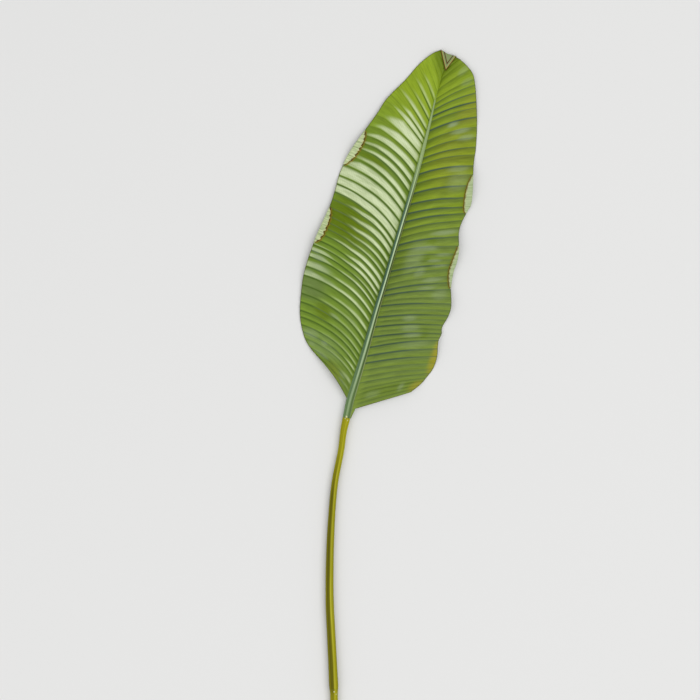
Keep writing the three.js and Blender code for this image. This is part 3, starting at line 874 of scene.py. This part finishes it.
# The folds of the left half are paler.
on_left = add(tree, MATH, seen["reach"], 0, operation="LESS_THAN")
bloomed = add(tree, MIX, on_left, "B7C398", "D5DFAE", **RGBA)
paint = add(tree, MIX, pale, "92A674", bloomed, **RGBA)
on_tip = add(tree, MATH, seen["torn"], 1.5, operation="GREATER_THAN")
paint = add(tree, MIX, on_tip, paint, "7E8D5B", **RGBA)
# painted shade along each vein valley of the underside too
vein_crease_shade = add(tree, RANGE, seen["from_vein"], 0.3, 1.1, 0.5, 0, **SOFT)
paint = add(tree, MIX, vein_crease_shade, paint, "7F9562", **RGBA)
hem = add(tree, RANGE, seen["rim"], 0.6, 2.2, 0.7, 0, **SOFT)
hem = add(tree, MATH, hem, seen["torn"], operation="MULTIPLY", use_clamp=True)
paint = add(tree, MIX, hem, paint, "BBA550", **RGBA)
print("nodes of the bloom:", len(tree.nodes))

# %% Dried edge of the underside
DOTS_PER_PLEAT = 1.4
dots = add(tree, MATH, seen["pleat"], 2 * math.pi * DOTS_PER_PLEAT, operation="MULTIPLY")
dots = add(tree, MATH, dots, operation="SINE")
dots = add(tree, RANGE, dots, -0.5, 0.6, 0.7, 2.2)
dried = add(tree, MATH, seen["rim"], dots, operation="DIVIDE")
dried = add(tree, RANGE, dried, 0.5, 0.9, 1, 0, **SOFT)
inner = add(tree, MATH, seen["rim"], 4.4, operation="SUBTRACT")
inner = add(tree, MATH, inner, operation="ABSOLUTE")
inner = add(tree, RANGE, inner, 0.3, 0.9, 1, 0, **SOFT)
inner = add(tree, MATH, inner, on_tip, operation="MULTIPLY")
dried = add(tree, MATH, dried, inner, operation="MAXIMUM")
dried = add(tree, MATH, dried, seen["torn"], operation="MULTIPLY", use_clamp=True)
paint = add(tree, MIX, dried, paint, "523814", **RGBA)
bump = add(tree, "ShaderNodeBump", {"Height": height, "Strength": 0.4, "Distance": 0.00012})
coat(shader, paint, bump)

# %% [markdown]
# ## Raise the pleats by rule
# Between two veins the lamina is arched, and it dips to a sharp valley at each vein. That rule
# fits Geometry Nodes: a point rises by the absolute sine of its pleat number, times its swell. A
# fainter crease runs in the middle of each pleat. Solidify then gives the sheet its thickness, and
# its second material slot becomes the underside.

# %% Node tree that raises pleats
pleating, given = node_group("raise_pleats", Pleat_height="Float", Mid_crease_share="Float",
                             Lowest_height="Float")

stored = {field: add(pleating, "GeometryNodeInputNamedAttribute", field, data_type="FLOAT")
          for field in ("pleat", "swell", "up")}
waves = []
for count in (1, 2):
    turn = add(pleating, MATH, stored["pleat"], count * math.pi, operation="MULTIPLY")
    turn = add(pleating, MATH, turn, operation="SINE")
    waves.append(add(pleating, MATH, turn, operation="ABSOLUTE"))
crest = add(pleating, MATH, waves[0], 0.5, operation="SUBTRACT")
crest = add(pleating, MATH, waves[1], given["Mid crease share"], crest, operation="MULTIPLY_ADD")
rise = add(pleating, MATH, crest, stored["swell"], operation="MULTIPLY")
place = add(pleating, "GeometryNodeInputPosition")
parts = add(pleating, "ShaderNodeSeparateXYZ", place).node.outputs
height = add(pleating, MATH, rise, given["Pleat height"], parts[2], operation="MULTIPLY_ADD")
height = add(pleating, MATH, height, given["Lowest height"], operation="MAXIMUM")
height = add(pleating, MATH, stored["up"], MM, height, operation="MULTIPLY_ADD")
place = add(pleating, "ShaderNodeCombineXYZ", parts[0], parts[1], height)
shape = add(pleating, "GeometryNodeSetPosition", {"Geometry": given["Geometry"], "Position": place})
end_group(pleating, shape, given)

# %% Blade
PLEAT_MM, LOWEST_MM, SHEET_MM = 1.5, 0.4, 0.6
blade = mesh_object("blade_lamina", net.points, faces=net.faces, materials=[upper, under],
                    values=numbers)
use_group(blade, pleating, Pleat_height=PLEAT_MM * MM, Mid_crease_share=0.1,
          Lowest_height=LOWEST_MM * MM, Material=upper)
walls = blade.modifiers.new("thickness", "SOLIDIFY")
walls.thickness, walls.offset = SHEET_MM * MM, 0
walls.material_offset, walls.material_offset_rim = 1, 0
settle(blade, 50)
facing = [0, 0]
for face in blade.data.polygons:
    facing[face.material_index] += face.normal.z * face.area
print("upper and under face, area that looks up in cm2:", [round(1e4 * a, 1) for a in facing])

# %% [markdown]
# ## Side veins on the underside
# Turn a banana leaf over and the veins stand out as thin cords that taper to the margin. They
# follow paths, so Geometry Nodes sweep a small round profile along each one, scaled by a radius
# that is stored on the points of the path.

# %% Paths of the side veins
VEIN_ROOT_RADIUS, VEIN_TIP_RADIUS, VEIN_STEPS = 0.6, 0.2, 28
points, edges, radii = [], [], []
for side in (-1, 1):
    for root in VEIN_STATIONS[side][1:-1]:
        slip = float(np.interp(root, *SLIP[side]))
        start = Line(side, float(np.interp(root, station_marks(side), STEP_MARKS)))
        end = start.length - (3 if fold_at(start) else 1)
        for i in range(VEIN_STEPS + 1):
            run_here = end * i / VEIN_STEPS
            reached = root + slip * min(run_here, SLIP_ENDS_MM)
            line = Line(side, float(np.interp(reached, station_marks(side), STEP_MARKS)))
            u = end / start.length * i / VEIN_STEPS
            radius = lerp(VEIN_ROOT_RADIUS, VEIN_TIP_RADIUS, i / VEIN_STEPS)
            radius *= min(1, line.length / 60 + 0.3)
            x, y = line.plan(u)
            z = max(LOWEST_MM, line.height(u) - PLEAT_MM / 2 * line.swell(u)) - SHEET_MM / 2
            if i:
                edges.append((len(points) - 1, len(points)))
            points.append((x, y, max(z, radius + 0.02)))
            radii.append(radius * MM)
print("points on side veins:", len(points))

# %% Node tree that sweeps a vein
sweeping, given = node_group("sweep_veins", Sides="Int", Thickness="Float")
radius = add(sweeping, "GeometryNodeInputNamedAttribute", "radius_here", data_type="FLOAT")
radius = add(sweeping, MATH, radius, given["Thickness"], operation="MULTIPLY")
path = add(sweeping, "GeometryNodeMeshToCurve", {"Mesh": given["Geometry"]})
round_profile = add(sweeping, "GeometryNodeCurvePrimitiveCircle",
                    {"Resolution": given["Sides"], "Radius": 1.0})
swept = add(sweeping, "GeometryNodeCurveToMesh",
            {"Curve": path, "Profile Curve": round_profile, "Scale": radius, "Fill Caps": True})
end_group(sweeping, swept, given)

# %% Side veins
# The cord is a bundle of fibres under the same bloomed skin: pale, and mottled every 6 mm or so.
vein_skin, tree, shader = material("pale_vein_cord", 0.5, IOR=1.45, Specular_IOR_Level=0.3)
place = add(tree, "ShaderNodeTexCoord", out="Object")
grain = add(tree, "ShaderNodeTexNoise", {"Vector": place, "Scale": 1 / (6 * MM), "Detail": 2},
            out="Fac")
paint = add(tree, MIX, grain, "8C9F5E", "B4BF8A", **RGBA)
coat(shader, paint)

side_veins = mesh_object("side_veins", points, edges=edges, materials=[vein_skin],
                         values={"radius_here": radii})
use_group(side_veins, sweeping, Sides=6, Thickness=1.0, Material=vein_skin)
settle(side_veins, 60)

# %% [markdown]
# ## Midrib and stalk
# Both are one bar of living fibre: rounded keel below, a shallow channel above. A loft through
# many rings of one section keeps the channel continuous. The section is a smooth closed curve
# through thirteen points. Each point remembers how far across the bar it lies, for its
# colour bands.

# %% Section and loft
# share of half width, share of depth, share of the channel's depth
SECTION = [
    (0.44, 0, 0), (0.8, 0.14, 0), (1, 0.42, 0), (1, 0.86, 0), (0.8, 1, 0), (0.4, 1, 0.8),
    (0, 1, 1), (-0.4, 1, 0.8), (-0.8, 1, 0), (-1, 0.86, 0), (-1, 0.42, 0), (-0.8, 0.14, 0),
    (-0.44, 0, 0),
]
CHANNEL = 0.22
SECTION_STEPS = 4


def section(depth):
    """Rounded section: rows of share across and share up."""
    channel = CHANNEL * min(1, depth / 6)
    corner = np.array([(a, b - channel * sunk) for a, b, sunk in SECTION])
    before, after, beyond = (np.roll(corner, -k, axis=0) for k in (-1, 1, 2))
    ring = []
    for step in range(SECTION_STEPS):
        t = step / SECTION_STEPS
        ring.append((2 * corner + (after - before) * t
                     + (2 * before - 5 * corner + 4 * after - beyond) * t ** 2
                     + (3 * corner - before - 3 * after + beyond) * t ** 3) / 2)
    rounded = np.stack(ring, axis=1).reshape(-1, 2)
    rounded[:, 1] = np.maximum(rounded[:, 1], 0)
    return rounded


def loft(name, table, ends, step, measure, materials):
    """A bar along a table's line. measure gives width, depth and underside height at y."""
    count = math.ceil((ends[1] - ends[0]) / step)
    points, faces, values = [], [], {"share": [], "station": [], "level": []}
    stations = [lerp(*ends, i / count) for i in range(count + 1)]
    inset = [(stations[0], 0.001), (stations[0], 0.9), *((y, 1) for y in stations),
             (stations[-1], 0.9), (stations[-1], 0.001)]
    for y, scale in inset:
        width, depth, rise = measure(y)
        x = along(table, y)[0]
        out = across(table, y)
        for share, level in section(depth):
            offset = share * width / 2 * scale
            z = rise + depth * (0.4 + (level - 0.4) * scale)
            points.append((x + out[0] * offset, y + out[1] * offset, z))
            values["share"].append(share)
            values["station"].append(y)
            values["level"].append(level)
    size = SECTION_STEPS * len(SECTION)
    cut_rings = (0, 1, len(inset) - 3, len(inset) - 2)
    slots = []
    for ring in range(len(inset) - 1):
        for i in range(size):
            a, b = ring * size + i, ring * size + (i + 1) % size
            faces.append((a, a + size, b + size, b))
            slots.append(min(ring in cut_rings, len(materials) - 1))
    made = mesh_object(name, points, faces=faces, materials=materials, values=values)
    made.data.polygons.foreach_set("material_index", slots)
    made.data.shade_smooth()
    made.data.set_sharp_from_angle(angle=math.radians(40))
    print(name, "triangles:", 2 * len(faces))
    return made


print("points round the section:", SECTION_STEPS * len(SECTION))

# %% [markdown]
# ## Skin of the midrib
# Seen from above, the midrib reads as bands: a dark blue-green line on its left flank, which is
# painted shade of the channel's wall, a pale grey-green ridge, partly a painted highlight, a dark
# olive line, and a thin border where the right half is attached. The bands are a colour ramp over
# the share across. Fine fibres run along it, and it pales towards the tip.

# %% Long fibres
def lengthwise_fibres(tree, scale_across, scale_along):
    """Numbers of the bar's points, and a long thin noise that follows the bar."""
    seen = {field: add(tree, "ShaderNodeAttribute", out="Fac", attribute_name=field)
            for field in ("share", "station", "level")}
    place = add(tree, "ShaderNodeCombineXYZ", seen["share"], seen["station"], seen["level"])
    place = add(tree, "ShaderNodeVectorMath", place, (scale_across, scale_along, scale_across),
                operation="MULTIPLY")
    return seen, add(tree, "ShaderNodeTexNoise",
                     {"Vector": place, "Scale": 1, "Detail": 4, "Roughness": 0.65}, out="Fac")


# %% Midrib material
rib_skin, tree, shader = material("midrib_rind", 0.42, IOR=1.45, Specular_IOR_Level=0.3)
seen, fibres = lengthwise_fibres(tree, 5, 0.02)
wander = add(tree, RANGE, fibres, 0, 1, -0.14, 0.14)
near_collar = add(tree, RANGE, seen["station"], -20, 150, 0.8, 0)
position = add(tree, MATH, seen["share"], wander, operation="ADD")
position = add(tree, MATH, near_collar, 0.22, position, operation="MULTIPLY_ADD")
position = add(tree, RANGE, position, -1.05, 1.05)
# the ramp paints shade on the channel's left wall and a highlight along the pale ridge
paint = add(tree, "ShaderNodeValToRGB", position,
            stops=[(0.0, "56703C"), (0.1, "3E5C46"), (0.38, "42624E"), (0.46, "9CB48A"),
                   (0.54, "C0D2AC"), (0.63, "AEC298"), (0.7, "445A24"), (0.87, "40551E"),
                   (0.96, "96946A")])
towards_tip = add(tree, RANGE, seen["station"], 270, 340, 0, 0.9)
paint = add(tree, MIX, towards_tip, paint, "8DA269", **RGBA)
paint = add(tree, MIX, near_collar, paint, "68824E", **RGBA)
tone = add(tree, RANGE, fibres, 0.3, 0.7, 0.82, 1.15)
paint = add(tree, "ShaderNodeVectorMath", paint, tone, operation="SCALE")
bump = add(tree, "ShaderNodeBump", {"Height": fibres, "Strength": 0.3, "Distance": 0.0004})
coat(shader, paint, bump)

# %% Midrib
RIB_END_Y = 476


def rib_measure(y):
    """Beyond the blade's slot the midrib sinks into the sheet and fades out."""
    _, width, depth, rise = along(RIB_LINE, y)
    sink = 1.0 * float(smooth(y, 396, 452))
    return width * (1 - 0.3 * float(smooth(y, 430, RIB_END_Y))), depth, max(rise, 0) - sink


midrib = loft("midrib_bar", RIB_LINE, (COLLAR_Y + SEAM_MM, RIB_END_Y), 3, rib_measure, [rib_skin])

# %% [markdown]
# ## Skin of the stalk
# The stalk is yellower and more olive than the blade, with dark and light fibres along it, a dark
# band of painted shade on its left and a light ridge right of the middle with a painted highlight.
# Its cut end shows pale spongy pith.

# %% Stalk and pith materials
stalk_skin, tree, shader = material("stalk_rind", 0.5, IOR=1.45, Specular_IOR_Level=0.1)
seen, fibres = lengthwise_fibres(tree, 4, 0.012)
wander = add(tree, RANGE, fibres, 0, 1, -0.25, 0.25)
position = add(tree, MATH, seen["share"], wander, operation="ADD")
position = add(tree, RANGE, position, -1.15, 1.15)
# the ramp paints a shade band on the left and a highlight along the light ridge
paint = add(tree, "ShaderNodeValToRGB", position,
            stops=[(0.0, "6A661A"), (0.16, "746F0C"), (0.3, "58540A"), (0.46, "615E02"),
                   (0.54, "86820C"), (0.64, "B0AC34"), (0.76, "9E9A12"), (0.92, "807C1C")])
upper_end = add(tree, RANGE, seen["station"], -135, -70, 0, 0.55)
below_ring = add(tree, RANGE, seen["station"], -402, -414, 0, 0.35)
lighter = add(tree, MATH, upper_end, below_ring, operation="MAXIMUM")
paint = add(tree, MIX, lighter, paint, "A8A41A", **RGBA)
tone = add(tree, RANGE, fibres, 0.3, 0.7, 0.8, 1.2)
paint = add(tree, "ShaderNodeVectorMath", paint, tone, operation="SCALE")
bump = add(tree, "ShaderNodeBump", {"Height": fibres, "Strength": 0.4, "Distance": 0.0005})
coat(shader, paint, bump)

PITH_CELL_MM = 1.1
pith, tree, shader = material("spongy_pith", 0.75, IOR=1.4, Specular_IOR_Level=0.2)
place = add(tree, "ShaderNodeTexCoord", out="Object")
cells = add(tree, "ShaderNodeTexVoronoi", {"Vector": place, "Scale": 1 / (PITH_CELL_MM * MM)},
            out="Distance", feature="DISTANCE_TO_EDGE")
walls_of_cells = add(tree, RANGE, cells, 0, 0.18)
paint = add(tree, MIX, walls_of_cells, "C9C79A", "97965A", **RGBA)
bump = add(tree, "ShaderNodeBump", {"Height": cells, "Strength": 0.5, "Distance": 0.0004},
           invert=True)
coat(shader, paint, bump)


# %% Stalk and its foot
def stalk_measure(y):
    _, width, depth = along(STALK_LINE, y)
    ripple = 1 + 0.012 * math.sin(y / 11) * math.sin(y / 37)
    return width * ripple, depth, 0


stalk, foot = (loft(name, STALK_LINE, ends, 5, stalk_measure, [stalk_skin, pith])
               for name, ends in (("stalk_bar", (RING_Y + SEAM_MM / 2, COLLAR_Y)),
                                  ("stalk_foot", (FOOT_Y, RING_Y - SEAM_MM / 2))))

# %% [markdown]
# ## Beads at the joints
# Small pale beads sit at the collar and at the lower joint, like drops of dried sap. They are one
# rounded bead repeated on a few points, each with its own size, so Geometry Nodes place them.

# %% Sap
# Dried sap is a cloudy gum: pale, a little glossy, with soft clouds 1.5 mm across.
dried_sap, tree, shader = material("dried_sap", 0.3, IOR=1.5, Specular_IOR_Level=0.5)
place = add(tree, "ShaderNodeTexCoord", out="Object")
cloud = add(tree, "ShaderNodeTexNoise", {"Vector": place, "Scale": 1 / (1.5 * MM)}, out="Fac")
paint = add(tree, MIX, cloud, "B4B67C", "DCDAA6", **RGBA)
coat(shader, paint)

# %% Node tree that places beads
beading, given = node_group("place_beads", Flatness="Float", Turn_seed="Int")
bead = add(beading, "GeometryNodeMeshIcoSphere", {"Radius": 1.0, "Subdivisions": 3}, out="Mesh")
size = add(beading, "GeometryNodeInputNamedAttribute", "size", data_type="FLOAT")
flat = add(beading, MATH, size, given["Flatness"], operation="MULTIPLY")
long_size = add(beading, MATH, size, 1.3, operation="MULTIPLY")
scale = add(beading, "ShaderNodeCombineXYZ", size, long_size, flat)
turn = add(beading, "FunctionNodeRandomValue",
           {"Min": -0.6, "Max": 0.6, "Seed": given["Turn seed"]}, data_type="FLOAT")
turn = add(beading, "ShaderNodeCombineXYZ", 0, 0, turn)
placed = add(beading, "GeometryNodeInstanceOnPoints",
             {"Points": given["Geometry"], "Instance": bead, "Rotation": turn, "Scale": scale})
end_group(beading, placed, given)

# %% Beads
# x, y, z and size of each bead in millimetres
BEADS = [(-58.7, -23.2, 7.6, 1.3), (-56.9, -28.6, 7.9, 0.95), (-60.6, -25.4, 8.0, 0.7),
         (-76.0, -408.0, 7.8, 0.9), (-72.9, -411.4, 8.2, 0.8)]
beads = mesh_object("sap_beads", [b[:3] for b in BEADS], materials=[dried_sap],
                    values={"size": [b[3] * MM for b in BEADS]})
use_group(beads, beading, Flatness=0.45, Turn_seed=3, Material=dried_sap)
settle(beads, 60)

# %% [markdown]
# ## Tie the pieces to the frame
# Every piece rides on the one body that the leaf has and hides the measured solid it stands for. A
# line prints that solid and the finish of the record that goes with it.

# %% Ride and replace
for piece, node, finish in ((blade, "blade", "blade"), (side_veins, None, "blade"),
                            (midrib, "midrib", "midrib"), (stalk, "petiole", "stalk"),
                            (foot, "petiole_foot", "stalk"), (beads, None, "stalk")):
    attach(piece, "root")
    if node:
        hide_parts(node)
    print(piece.name, "stands for", node, "and wears", finish)
